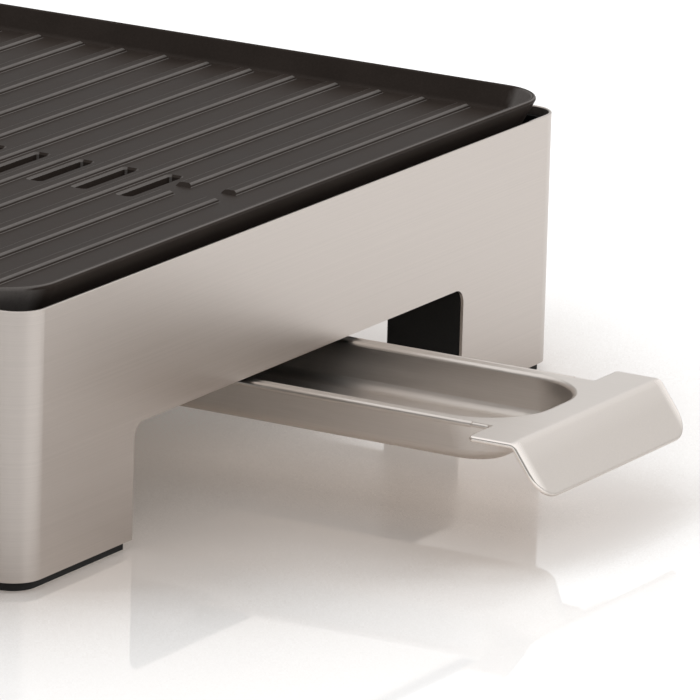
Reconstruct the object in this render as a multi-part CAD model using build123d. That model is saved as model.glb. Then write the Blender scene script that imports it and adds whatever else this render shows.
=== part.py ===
from build123d import *

import os
from math import atan, cos, degrees, radians, sin, tan

# Table grill: a steel band on four legs, a lift-off ribbed plate, a drip tray that draws out of one
# short end and the controls on the other. Millimetres, +Z up, the table is at Z = 0, X runs along the
# length towards the tray end. The whole part is centred on its outline as it stands, tray drawn out.

# Housing shell, one band of brushed steel
length = 552.0
width = 330.0
height = 88.0
sheet = 1.0
corner_radius = 10.0
edge_break = 0.25
leg_end_width = 63.0
leg_side_width = 29.0
band_depth = 48.0
arch_radius = 5.0

# Leg liners and feet
foot_thickness = 3.0
foot_inset = 2.0
foot_peg_radius = 3.0
foot_peg_grip = 1.5
liner_wall = 2.0
liner_floor = 2.5
liner_corner_radius = 1.5
liner_boss_radius = 4.5

# Base pan that closes the underside, and the weld studs that hold the band to it
pan_gap = 2.0
pan_sheet = 1.0
pan_wall = 14.0
pan_notch_gap = 2.0
stud_radius = 2.0
stud_length = 8.0
stud_end_distance = 90.0
stud_height = 8.0
nut_across_flats = 7.0
nut_thickness = 3.2

# Trim ring, the black edge between plate and steel
ring_drop = 3.0
ring_wall = 2.0
ring_depth = 6.0
ring_ledge = 11.0
ring_ledge_thickness = 1.5
column_size = 8.0
column_end_distance = 180.0

# Grill plate, cast with a raised rim
rim_inset = 1.4
rim_width = 2.2
rim_rise = 6.1
rim_round = 0.9
plate_corner_radius = 18.0
plate_dish_depth = 7.8
plate_thickness = 4.8
plate_outer_taper = 28.0
plate_inner_taper = 24.0
plate_floor_round = 2.0
rib_end_distance = 32.4
rib_spacing = 16.8
rib_rim_gap = 2.4
rib_height = 1.3
rib_base_width = 6.2
rib_top_width = 2.4
rib_toe_radius = 0.5
rib_end_slope = 1.2
rib_sink = 0.05
drain_gap = 12.0
tray_end_drain_count = 2
control_end_drain_count = 3
slot_length = 32.0
slot_width = 4.9
slot_corner_radius = 1.2
slot_rib_distance = 7.25
slot_chamfer = 0.7
plate_boss_radius = 8.5
plate_boss_height = 1.5

# Plate rests, which also carry the heat reflector
rest_gap = 0.3
rest_foot_radius = 8.0
rest_radius = 4.5
rest_margin = 22.0
rest_ring_thickness = 1.2

# Heat reflector and grease chute
reflector_drop = 14.7
reflector_margin = 14.0
reflector_wall = 14.0
reflector_sheet = 0.8
reflector_corner_radius = 12.0
control_depth = 36.0
chute_margin = 6.0
chute_sheet = 0.8
chute_flange = 6.0
chute_corner_radius = 4.0

# Heating element, one bent tube held by clips
element_diameter = 6.5
element_plate_gap = 1.5
element_bend_radius = 30.0
element_wall_distance = 36.0
element_chute_distance = 16.0
element_turn_distance = 24.0
element_end_distance = 24.0
clip_width = 8.0
clip_wall = 1.25
clip_stem = 2.0
clip_foot = 12.0
clip_turn_distance = 45.0
seal_length = 8.0
seal_radius = 4.2
pin_length = 7.0
pin_radius = 1.5

# Drip tray, drawn out to where it stands
tray_out = 103.0
tray_sheet = 1.0
deck_drop = 1.8
basin_length = 486.0
basin_width = 56.0
basin_depth = 15.1
basin_corner_radius = 23.0
basin_low_radius = 10.0
basin_floor_round = 3.5
basin_edge_round = 1.5
basin_taper = 9.0
basin_end_slope = 34.0
basin_front_distance = 11.3
flange_width = 5.5
bead_radius = 1.0
bead_rise = 0.15
bead_nose_length = 5.0
bead_nose_radius = 0.75
wing_width = 95.0
wing_depth = 16.3
wing_corner_radius = 1.5
lip_length = 19.8
lip_angle = 54.0
lip_bend_radius = 3.0
lip_corner_radius = 9.0
hem_width = 4.0
hem_thickness = 1.8
hem_round = 0.8

# Tray runners under the base pan
runner_sheet = 1.2
runner_flange = 12.0
runner_stop_gap = 0.7
runner_rear_margin = 5.0
slide_gap = 0.4
ledge_gap = 1.2

# Controls on the short end away from the tray
knob_offset = 55.0
inlet_offset = 55.0
thermostat_depth = 22.0
thermostat_width = 30.0
thermostat_height = 21.0
thermostat_bore_depth = 14.0
shaft_radius = 3.0
shaft_gap = 0.3
shaft_grip = 13.0
bush_radius = 5.0
dial_radius = 19.5
dial_thickness = 1.0
clamp_nut_flats = 14.0
clamp_nut_thickness = 2.5
knob_radius = 14.0
knob_height = 18.0
knob_taper = 4.0
knob_round = 1.5
knob_gap = 0.6
knob_flute_count = 20
knob_flute_radius = 1.3
knob_flute_depth = 0.8
knob_recess_radius = 9.0
knob_recess_depth = 4.5
pointer_length = 9.0
pointer_width = 1.8
pointer_thickness = 0.8
bulb_radius = 3.0
bulb_length = 55.0
bulb_plate_gap = 0.6
capillary_radius = 1.0
capillary_bend_radius = 3.0
lamp_lens_radius = 4.0
lamp_rim_radius = 5.5
lamp_rim_thickness = 1.2
lamp_lens_depth = 6.0
lamp_dome_height = 1.6
lamp_body_radius = 6.5
lamp_body_length = 16.0
inlet_flange_width = 31.0
inlet_flange_height = 24.0
inlet_flange_thickness = 2.5
inlet_width = 27.0
inlet_height = 19.6
inlet_depth = 18.0
inlet_wall = 1.6
inlet_pin_spacing = 7.0
inlet_pin_raise = 4.0
inlet_pin_width = 2.0
inlet_pin_height = 4.0
inlet_tab = 6.0
inlet_pin_short = 3.0
wire_radius = 1.2
wire_bend_radius = 3.0
earth_stud_radius = 3.0
earth_stud_height = 6.0

# Screws and fits
screw_radius = 1.5
screw_length = 10.0
screw_head_radius = 3.2
screw_head_height = 2.2
screw_slot_width = 0.9
screw_slot_depth = 1.0
fit = 0.2
overrun = 2.0

# Heights above the table
steel_z = foot_thickness
arch_height = height - band_depth
pan_z = arch_height + pan_gap
pan_top = pan_z + pan_sheet
plate_top = height + rim_rise
plate_floor = plate_top - plate_dish_depth
plate_under = plate_floor - plate_thickness
rest_top = plate_under - plate_boss_height - rest_gap
ring_top = height - ring_drop
ring_z = ring_top - ring_depth
element_radius = element_diameter / 2
element_z = plate_under - element_plate_gap - element_radius
reflector_top = element_z - element_radius - reflector_drop
reflector_z = reflector_top - reflector_sheet
control_z = (arch_height + height) / 2
deck_z = arch_height - deck_drop

# Places along and across the housing, from its middle
end_x = length / 2
side_y = width / 2
inner_end_x = end_x - sheet
inner_side_y = side_y - sheet
lining_end_x = inner_end_x - fit
lining_side_y = inner_side_y - fit
reflector_low_x = -end_x + control_depth
reflector_high_x = end_x - reflector_margin
reflector_side_y = side_y - reflector_margin
rest_low_x = reflector_low_x + rest_margin
rest_high_x = reflector_high_x - rest_margin
rest_y = reflector_side_y - rest_margin
rest_places = [(x, y) for x in (rest_low_x, rest_high_x) for y in (-rest_y, rest_y)]
stud_places = [-end_x + stud_end_distance, 0.0, end_x - stud_end_distance]
column_places = [-end_x + column_end_distance, end_x - column_end_distance]
column_y = lining_side_y - pan_sheet - fit - column_size / 2

# Ribs and drain slots of the plate
rib_gaps = round((length - 2 * rib_end_distance) / rib_spacing)
rib_step = (length - 2 * rib_end_distance) / rib_gaps
rib_places = [end_x - rib_end_distance - i * rib_step for i in range(rib_gaps + 1)]
slot_ribs = rib_places[tray_end_drain_count:len(rib_places) - control_end_drain_count]
slot_places = [x + slot_rib_distance for x in slot_ribs]
chute_low_x = min(slot_places) - slot_width / 2 - chute_margin
chute_high_x = max(slot_places) + slot_width / 2 + chute_margin
chute_length = chute_high_x - chute_low_x
chute_width = slot_length + 2 * chute_margin
chute_x = (chute_low_x + chute_high_x) / 2

# Runs of the heating element
run_outer_y = reflector_side_y - element_wall_distance
run_inner_y = chute_width / 2 + chute_flange + element_chute_distance
run_turn_x = reflector_high_x - element_turn_distance
run_cross_x = reflector_low_x + element_turn_distance
element_end_x = -inner_end_x + element_end_distance
bulb_y = (run_outer_y + run_inner_y) / 2
bulb_z = plate_under - bulb_plate_gap - bulb_radius
clip_places = [run_cross_x + clip_turn_distance, 0.0, run_turn_x - clip_turn_distance]

# Drip tray, as it stands
bend_x = end_x + tray_out
wing_rear_x = bend_x - wing_depth
basin_front_x = bend_x - basin_front_distance
basin_x = basin_front_x - basin_length / 2
flange_y = basin_width / 2 + flange_width
tray_rear_x = basin_front_x - basin_length - flange_width
bend_tangent = lip_bend_radius * tan(radians(lip_angle / 2))
lip_straight = lip_length - bend_tangent
lip_tip_x = bend_x + lip_length * cos(radians(lip_angle))
bead_z = deck_z + bead_rise - bead_radius
ledge_z = bead_z - bead_radius - slide_gap
runner_front_x = end_x - wing_depth - runner_stop_gap
runner_rear_x = tray_rear_x - tray_out - runner_rear_margin
runner_web_y = flange_y + slide_gap
runner_screw_y = runner_web_y + runner_sheet + runner_flange / 2
runner_third = (runner_front_x - runner_rear_x) / 3
runner_screw_places = [runner_rear_x + runner_third * (i + 0.5) for i in range(3)]

# Controls, from the outer face of the control end
knob_back_x = -end_x - dial_thickness - knob_gap
knob_front_x = knob_back_x - knob_height
thermostat_back_x = -inner_end_x + thermostat_depth
inlet_back_x = -end_x + inlet_depth
wire_x = reflector_low_x - 3 * wire_radius
body_x = -(lip_tip_x + knob_front_x) / 2


def slab(size_x, size_y, radius, z_low, z_high, x=0.0):
    """Upright block with rounded upright corners, centred on Y."""
    return Pos(x, 0, z_low) * extrude(RectangleRounded(size_x, size_y, radius), z_high - z_low)


def tapered(size_x, size_y, radius, z_top, z_low, taper, x=0.0):
    """Rounded block that narrows downwards from its top."""
    upside_down = extrude(RectangleRounded(size_x, size_y, radius), z_top - z_low, taper=taper)
    return Pos(x, 0, z_top) * Rot(180, 0, 0) * upside_down


def block(x_low, x_high, y_low, y_high, z_low, z_high):
    """Box between two corners."""
    middle = Pos((x_low + x_high) / 2, (y_low + y_high) / 2, (z_low + z_high) / 2)
    return middle * Box(x_high - x_low, y_high - y_low, z_high - z_low)


def post(radius, z_low, z_high, x, y):
    """Upright round bar."""
    return Pos(x, y, (z_low + z_high) / 2) * Cylinder(radius, z_high - z_low)


def rod_x(radius, x_low, x_high, y, z):
    """Round bar along X."""
    return Pos((x_low + x_high) / 2, y, z) * Rot(0, 90, 0) * Cylinder(radius, x_high - x_low)


def rod_y(radius, y_low, y_high, x, z):
    """Round bar along Y."""
    return Pos(x, (y_low + y_high) / 2, z) * Rot(90, 0, 0) * Cylinder(radius, y_high - y_low)


def tube_along(path, radius):
    """Round section swept along straight runs and arcs."""
    return sweep(Plane(path @ 0, z_dir=path % 0) * Circle(radius), path)


def to_corner(piece, x_sign, y_sign):
    """The piece of the +X +Y corner, mirrored to another corner."""
    if x_sign < 0:
        piece = mirror(piece, Plane.YZ)
    if y_sign < 0:
        piece = mirror(piece, Plane.XZ)
    return piece


def screw(x, y, seat_z, up):
    """Slotted pan-head screw with its head on a flat seat; up says which way the shank points."""
    way = 1 if up else -1
    shank = post(screw_radius, *sorted((seat_z, seat_z + way * screw_length)), x, y)
    head_z = seat_z - way * screw_head_height
    head = post(screw_head_radius, *sorted((seat_z, head_z)), x, y)
    half_slot = screw_slot_width / 2
    slot_z = sorted((head_z, head_z + way * screw_slot_depth))
    slot = block(x - screw_head_radius, x + screw_head_radius, y - half_slot, y + half_slot, *slot_z)
    return shank + head - slot


def screw_hole(x, y, z_low, z_high):
    """Clearance hole for a screw's shank."""
    return post(screw_radius + fit / 2, z_low, z_high, x, y)


def save(node, *pieces):
    """Write the solids of one node, in the part's own frame."""
    solids = [solid for piece in pieces for solid in piece.solids()]
    export_step(Pos(body_x, 0, 0) * Compound(solids), f"parts/{node}.step")


def end_hole_round(radius, y):
    """Round hole through the control end of the band."""
    return rod_x(radius, -end_x - overrun, -inner_end_x + overrun, y, control_z)


def inlet_block(half_width, half_height, x_low, x_high):
    """Box centred on the mains inlet."""
    return block(
        x_low, x_high, inlet_offset - half_width, inlet_offset + half_width,
        control_z - half_height, control_z + half_height,
    )


def housing_shell():
    """Steel band with broken top edges, four arches and the openings for the controls."""
    band = slab(length, width, corner_radius, steel_z, height)
    band -= slab(
        length - 2 * sheet, width - 2 * sheet, corner_radius - sheet, steel_z - overrun, height + overrun
    )
    band = chamfer(band.edges().group_by(Axis.Z)[-1], min(edge_break, sheet / 3))
    end_arch = Plane.YZ * RectangleRounded(width - 2 * leg_end_width, 2 * arch_height, arch_radius)
    side_arch = Plane.XZ * RectangleRounded(length - 2 * leg_side_width, 2 * arch_height, arch_radius)
    band -= extrude(end_arch, length, both=True)
    band -= extrude(side_arch, width, both=True)
    band -= end_hole_round(bush_radius + fit, -knob_offset)
    band -= end_hole_round(lamp_lens_radius + fit, 0)
    band -= inlet_block(
        inlet_width / 2 + fit, inlet_height / 2 + fit, -end_x - overrun, -inner_end_x + overrun
    )
    return band


def liner_boss_places():
    """Screw bosses of the +X +Y liner."""
    inside_y = side_y - leg_end_width
    middle_x = (end_x - leg_side_width + lining_end_x) / 2
    reach_y = (lining_side_y - inside_y) / 4
    middle_y = (inside_y + lining_side_y) / 2
    return [(middle_x, middle_y - reach_y), (middle_x, middle_y + reach_y)]


def foot_peg_place():
    """Peg of the +X +Y foot."""
    return (end_x - leg_side_width + lining_end_x) / 2, (side_y - leg_end_width + lining_side_y) / 2


def leg_liner():
    """Open-topped black box that lines the +X +Y leg."""
    inside_x = end_x - leg_side_width
    inside_y = side_y - leg_end_width
    liner = block(inside_x, lining_end_x, inside_y, lining_side_y, steel_z, pan_z)
    uprights = liner.edges().filter_by(Axis.Z).sort_by_distance((lining_end_x, lining_side_y, steel_z))
    liner = fillet(uprights[0], corner_radius - sheet - fit)
    inner_edges = liner.edges().filter_by(Axis.Z).sort_by_distance((inside_x, inside_y, steel_z))
    liner = fillet(inner_edges[0], liner_corner_radius)
    cavity = block(
        inside_x + liner_wall, lining_end_x - liner_wall, inside_y + liner_wall,
        lining_side_y - liner_wall, steel_z + liner_floor, pan_z + overrun,
    )
    cavity_radius = max(corner_radius - sheet - fit - liner_wall, liner_corner_radius)
    cavity = fillet(cavity.edges().filter_by(Axis.Z), cavity_radius)
    liner -= cavity
    for x, y in liner_boss_places():
        liner += post(liner_boss_radius, steel_z + liner_floor / 2, pan_z, x, y)
        liner -= screw_hole(x, y, pan_top - screw_length - overrun, pan_z + overrun)
    peg_x, peg_y = foot_peg_place()
    liner -= post(foot_peg_radius + fit / 2, steel_z - overrun, steel_z + liner_floor + overrun, peg_x, peg_y)
    return liner


def foot():
    """Rubber pad under the +X +Y leg, with the peg that holds it in the liner."""
    low_x = end_x - leg_side_width + foot_inset
    low_y = side_y - leg_end_width + foot_inset
    pad = block(low_x, end_x - foot_inset, low_y, side_y - foot_inset, 0, foot_thickness)
    outer_corner = (end_x, side_y, 0)
    uprights = pad.edges().filter_by(Axis.Z).sort_by_distance(outer_corner)
    pad = fillet(uprights[0], corner_radius - foot_inset)
    inner_uprights = pad.edges().filter_by(Axis.Z).sort_by_distance((low_x, low_y, 0))
    pad = fillet(inner_uprights[0], liner_corner_radius)
    peg_x, peg_y = foot_peg_place()
    peg_top = steel_z + liner_floor + foot_peg_grip
    return pad + post(foot_peg_radius, 0, peg_top, peg_x, peg_y)


def all_liner_screw_places():
    """Screw bosses of all four liners."""
    corner_places = liner_boss_places()
    return [(a * x, b * y) for x, y in corner_places for a in (-1, 1) for b in (-1, 1)]


def base_pan():
    """Black sheet pan above the arches, with the opening for the grease chute."""
    pan_corner = corner_radius - sheet - fit
    pan = slab(2 * lining_end_x, 2 * lining_side_y, pan_corner, pan_z, pan_z + pan_wall)
    pan -= slab(
        2 * (lining_end_x - pan_sheet), 2 * (lining_side_y - pan_sheet), pan_corner - pan_sheet,
        pan_top, pan_z + pan_wall + overrun,
    )
    pan -= slab(
        chute_length + 2 * (chute_sheet + fit), chute_width + 2 * (chute_sheet + fit),
        chute_corner_radius + chute_sheet + fit, pan_z - overrun, pan_top + overrun, chute_x,
    )
    column_screws = [(x, s * column_y) for x in column_places for s in (-1, 1)]
    runner_screws = [(x, s * runner_screw_y) for x in runner_screw_places for s in (-1, 1)]
    for x, y in all_liner_screw_places() + rest_places + column_screws + runner_screws:
        pan -= screw_hole(x, y, pan_z - overrun, pan_top + overrun)
    for x in stud_places:
        pan -= rod_y(stud_radius + fit, -side_y, side_y, x, pan_z + stud_height)
    tallest = max(thermostat_height, inlet_height, 2 * lamp_body_radius)
    notch_z = max(pan_top, control_z - tallest / 2 - pan_notch_gap)
    low_y = -knob_offset - thermostat_width / 2 - pan_notch_gap
    high_y = inlet_offset + inlet_width / 2 + pan_notch_gap
    wall_x = -lining_end_x + pan_sheet
    return pan - block(-end_x, wall_x + overrun, low_y, high_y, notch_z, pan_z + pan_wall + overrun)


def side_studs():
    """Weld studs on the inside of the two long sides."""
    studs = []
    for x in stud_places:
        for side in (-1, 1):
            y_low, y_high = sorted((side * (inner_side_y - stud_length), side * inner_side_y))
            studs.append(rod_y(stud_radius, y_low, y_high, x, pan_z + stud_height))
    return studs


def side_nuts():
    """Nuts that clamp the base pan's wall on the studs."""
    nuts = []
    face_y = lining_side_y - pan_sheet
    for x in stud_places:
        for side in (-1, 1):
            hexagon = extrude(
                RegularPolygon(nut_across_flats / 2, 6, major_radius=False) - Circle(stud_radius + fit / 2),
                nut_thickness,
            )
            place = Pos(x, side * face_y, pan_z + stud_height) * Rot(90 * side, 0, 0)
            nuts.append(place * hexagon)
    return nuts


def trim_ring():
    """Black frame inside the top of the band: an upright wall, a ledge and four screw columns."""
    ring_corner = corner_radius - sheet - fit
    outer = slab(2 * lining_end_x, 2 * lining_side_y, ring_corner, ring_z, ring_top)
    well = slab(
        2 * (lining_end_x - ring_wall), 2 * (lining_side_y - ring_wall), ring_corner - ring_wall,
        ring_z + ring_ledge_thickness, ring_top + overrun,
    )
    opening = slab(
        2 * (lining_end_x - ring_ledge), 2 * (lining_side_y - ring_ledge), ring_corner - ring_wall,
        ring_z - overrun, ring_top + overrun,
    )
    ring = outer - well - opening
    half = column_size / 2
    for x in column_places:
        for side in (-1, 1):
            y = side * column_y
            top_z = ring_z + ring_ledge_thickness / 2
            ring += block(x - half, x + half, y - half, y + half, pan_top, top_z)
            ring -= screw_hole(x, y, pan_top - overrun, pan_z + screw_length + overrun)
    return ring


def heat_reflector():
    """Shallow bright pan under the heating element, pierced for the rests and the chute."""
    size_x = reflector_high_x - reflector_low_x
    middle_x = (reflector_high_x + reflector_low_x) / 2
    pan = slab(
        size_x, 2 * reflector_side_y, reflector_corner_radius, reflector_z,
        reflector_z + reflector_wall, middle_x,
    )
    pan -= slab(
        size_x - 2 * reflector_sheet, 2 * (reflector_side_y - reflector_sheet),
        reflector_corner_radius - reflector_sheet, reflector_top,
        reflector_z + reflector_wall + overrun, middle_x,
    )
    pan -= slab(
        chute_length + 2 * (chute_sheet + fit), chute_width + 2 * (chute_sheet + fit),
        chute_corner_radius + chute_sheet + fit, reflector_z - overrun, reflector_top + overrun, chute_x,
    )
    for x, y in rest_places:
        pan -= post(rest_radius + fit, reflector_z - overrun, reflector_top + overrun, x, y)
    return pan


def grease_chute():
    """Sheet frame that takes the fat from the drain slots through reflector and base pan to the tray."""
    outer_length = chute_length + 2 * chute_sheet
    outer_width = chute_width + 2 * chute_sheet
    outer_radius = chute_corner_radius + chute_sheet
    chute = slab(outer_length, outer_width, outer_radius, pan_z, reflector_top + chute_sheet, chute_x)
    chute += slab(
        outer_length + 2 * chute_flange, outer_width + 2 * chute_flange, outer_radius + chute_flange,
        reflector_top, reflector_top + chute_sheet, chute_x,
    )
    chute -= slab(
        chute_length, chute_width, chute_corner_radius, pan_z - overrun, reflector_top + overrun, chute_x
    )
    return chute


def plate_rest(x, y):
    """Stepped post: the reflector sits on its shoulder, the plate on its top."""
    rest = post(rest_foot_radius, pan_top, reflector_z, x, y) + post(rest_radius, pan_top, rest_top, x, y)
    return rest - screw_hole(x, y, pan_top - overrun, pan_z + screw_length + overrun)


def rest_ring(x, y):
    """Push-on ring that holds the reflector down on a rest."""
    ring_high = reflector_top + rest_ring_thickness
    ring = post(rest_foot_radius, reflector_top, ring_high, x, y)
    return ring - post(rest_radius + fit / 2, reflector_top - overrun, ring_high + overrun, x, y)


def heating_element():
    """Sheathed tube bent into two loops, one each side of the grease chute."""
    corners = [
        (element_end_x, run_outer_y), (run_turn_x, run_outer_y), (run_turn_x, run_inner_y),
        (run_cross_x, run_inner_y), (run_cross_x, -run_inner_y), (run_turn_x, -run_inner_y),
        (run_turn_x, -run_outer_y), (element_end_x, -run_outer_y),
    ]
    bend = min(element_bend_radius, 0.45 * (run_outer_y - run_inner_y), 0.9 * run_inner_y)
    path = FilletPolyline(*[(x, y, element_z) for x, y in corners], radius=bend)
    return tube_along(path, element_radius)


def element_clip(x, y):
    """Bent strip clip that stands on the reflector and grips the element."""
    half = clip_width / 2
    bore = element_radius + fit / 2
    grip = rod_x(bore + clip_wall, x - half, x + half, y, element_z)
    stem_y = clip_stem / 2
    stem = block(x - half, x + half, y - stem_y, y + stem_y, reflector_top, element_z - bore - clip_wall / 2)
    foot_y = clip_foot / 2
    base = block(x - half, x + half, y - foot_y, y + foot_y, reflector_top, reflector_top + clip_wall)
    return grip + stem + base - rod_x(bore, x - clip_width, x + clip_width, y, element_z)


def element_seal(side):
    """Ceramic bead on one cold end of the element, with the way through for its pin."""
    y = side * run_outer_y
    bead = rod_x(seal_radius, element_end_x - seal_length, element_end_x, y, element_z)
    return bead - rod_x(pin_radius, element_end_x - seal_length - overrun, element_end_x, y, element_z)


def element_pin(side):
    """Terminal pin that comes out of the bead."""
    low_x = element_end_x - seal_length - pin_length
    return rod_x(pin_radius, low_x, element_end_x, side * run_outer_y, element_z)


def rib_section():
    """Cross-section of a rib: flat crest, round shoulders and hollow toes, with a root in the plate."""
    half_base = rib_base_width / 2
    half_top = rib_top_width / 2
    turn = 2 * degrees(atan(rib_height / (half_base - half_top)))
    both_radii = rib_height / (1 - cos(radians(turn)))
    toe = min(rib_toe_radius, both_radii / 2)
    shoulder = both_radii - toe
    root_z = -plate_thickness / 2
    right = [
        CenterArc((half_base, toe), toe, -90, -turn),
        CenterArc((half_top, rib_height - shoulder), shoulder, 90 - turn, turn),
    ]
    left = [
        CenterArc((-half_top, rib_height - shoulder), shoulder, 90, turn),
        CenterArc((-half_base, toe), toe, turn - 90, -turn),
    ]
    crest = Line((half_top, rib_height), (-half_top, rib_height))
    root = Polyline((-half_base, 0), (-half_base, root_z), (half_base, root_z), (half_base, 0))
    return make_face(Plane.XZ * Curve([*right, crest, *left, *root.edges()]))


def rib(section, x, y_low, y_high):
    """One raised rib of the plate between two places across it, with sloping ends."""
    slope = rib_end_slope / rib_height
    root = plate_thickness / 2
    reach = rib_height + rib_end_slope
    side_view = Polyline(
        (y_low - slope * root, -root), (y_high + slope * root, -root),
        (y_high - slope * reach, reach), (y_low + slope * reach, reach), close=True,
    )
    bar = Pos(0, (y_low + y_high) / 2, 0) * extrude(section, (y_high - y_low) / 2 + slope * reach, both=True)
    bar &= extrude(make_face(Plane.YZ * side_view), rib_base_width, both=True)
    return Pos(x, 0, plate_floor - rib_sink) * bar


def drain_slot(x):
    """Cutter for one drain slot, with its broken upper edge."""
    opening = RectangleRounded(slot_width, slot_length, slot_corner_radius)
    through = extrude(opening, plate_thickness + overrun)
    upper = RectangleRounded(
        slot_width + 2 * slot_chamfer, slot_length + 2 * slot_chamfer, slot_corner_radius + slot_chamfer
    )
    flare = Rot(180, 0, 0) * extrude(upper, slot_chamfer, taper=45)
    way_in = extrude(upper, rib_height)
    cutter = Pos(0, 0, -plate_thickness - overrun) * through + flare + way_in
    return Pos(x, 0, plate_floor) * cutter


def grill_plate():
    """Cast plate: tapered dish with a raised rim, ribs, drain slots and four rest bosses."""
    plate = tapered(
        length - 2 * rim_inset, width - 2 * rim_inset, plate_corner_radius, plate_top, plate_under,
        plate_outer_taper,
    )
    dish_inset = rim_inset + rim_width
    dish = tapered(
        length - 2 * dish_inset, width - 2 * dish_inset, plate_corner_radius - rim_width, plate_top,
        plate_floor, plate_inner_taper,
    )
    plate -= fillet(dish.edges().group_by(Axis.Z)[0], plate_floor_round)
    plate = fillet(plate.edges().group_by(Axis.Z)[-1], min(rim_round, 0.45 * rim_width))
    dish_floor_y = side_y - dish_inset - plate_dish_depth * tan(radians(plate_inner_taper))
    rib_end_y = dish_floor_y - rib_rim_gap
    section = rib_section()
    gap_y = drain_gap / 2 - rib_end_slope
    ribs = []
    for x in rib_places:
        if x in slot_ribs:
            ribs.append(rib(section, x, -rib_end_y, rib_end_y))
        else:
            ribs.append(rib(section, x, -rib_end_y, -gap_y))
            ribs.append(rib(section, x, gap_y, rib_end_y))
    plate += ribs
    plate -= [drain_slot(x) for x in slot_places]
    bosses = [
        post(plate_boss_radius, plate_under - plate_boss_height, plate_under, x, y) for x, y in rest_places
    ]
    return plate + bosses


def basin_block(wall_out, z_low):
    """Basin's form that narrows downwards, with its ends more sloped than its long sides."""
    depth = deck_z - z_low
    top_length = basin_length + 2 * wall_out
    top_width = basin_width + 2 * wall_out
    low_length = top_length - 2 * depth * tan(radians(basin_end_slope))
    low_width = top_width - 2 * depth * tan(radians(basin_taper))
    low = Pos(basin_x, 0, z_low) * RectangleRounded(low_length, low_width, basin_low_radius + wall_out)
    top = Pos(basin_x, 0, deck_z) * RectangleRounded(top_length, top_width, basin_corner_radius + wall_out)
    return loft([low, top], ruled=True)


def drip_tray():
    """Drawn steel basin with beaded long edges, a wide front deck and a turned-down lip."""
    wall = tray_sheet
    basin = basin_block(wall, deck_z - basin_depth)
    basin = fillet(basin.edges().group_by(Axis.Z)[0], basin_floor_round + wall)
    cavity = basin_block(0.0, deck_z - basin_depth + wall)
    cavity = fillet(cavity.edges().group_by(Axis.Z)[0], basin_floor_round)
    flange_edge_y = flange_y - bead_radius
    flange = block(tray_rear_x, wing_rear_x + wall, -flange_edge_y, flange_edge_y, deck_z - wall, deck_z)
    flange = fillet(flange.edges().filter_by(Axis.Z).group_by(Axis.X)[0], basin_corner_radius)
    tray = flange + front_deck() + basin - cavity
    basin_edges = [
        edge for edge in tray.edges().group_by(Axis.Z)[-1]
        if edge.bounding_box().min.X > tray_rear_x + wall
        and edge.bounding_box().max.X < bend_x - wall
        and abs(edge.bounding_box().max.Y) < basin_width / 2 + wall / 2
        and abs(edge.bounding_box().min.Y) < basin_width / 2 + wall / 2
    ]
    tray = fillet(basin_edges, min(basin_edge_round, 1.5 * wall))
    bead_rear_x = tray_rear_x + basin_corner_radius
    nose_x = wing_rear_x - bead_radius - bead_nose_radius
    bead_front_x = nose_x - bead_nose_length
    for side in (-1, 1):
        bead_y = side * flange_edge_y
        tray += rod_x(bead_radius, bead_rear_x, bead_front_x, bead_y, bead_z)
        tray += Pos(bead_rear_x, bead_y, bead_z) * Sphere(bead_radius)
        tray += rod_x(bead_nose_radius, bead_front_x - overrun, nose_x, bead_y, bead_z)
        tray += Pos(nose_x, bead_y, bead_z) * Sphere(bead_nose_radius)
    return tray


def outer_edges(shape, side):
    """Edges round the upper or the lower skin of the deck; side is 1 or -1."""
    least = cos(radians(lip_angle)) / 2
    skins = []
    for face in shape.faces():
        facing = face.normal_at(face.center())
        if side * facing.Z > least and side * facing.X > -least:
            skins.append(face)
    edges = [edge for face in skins for edge in face.edges()]
    return [edge for edge in edges if sum(edge.is_same(other) for other in edges) == 1]


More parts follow.
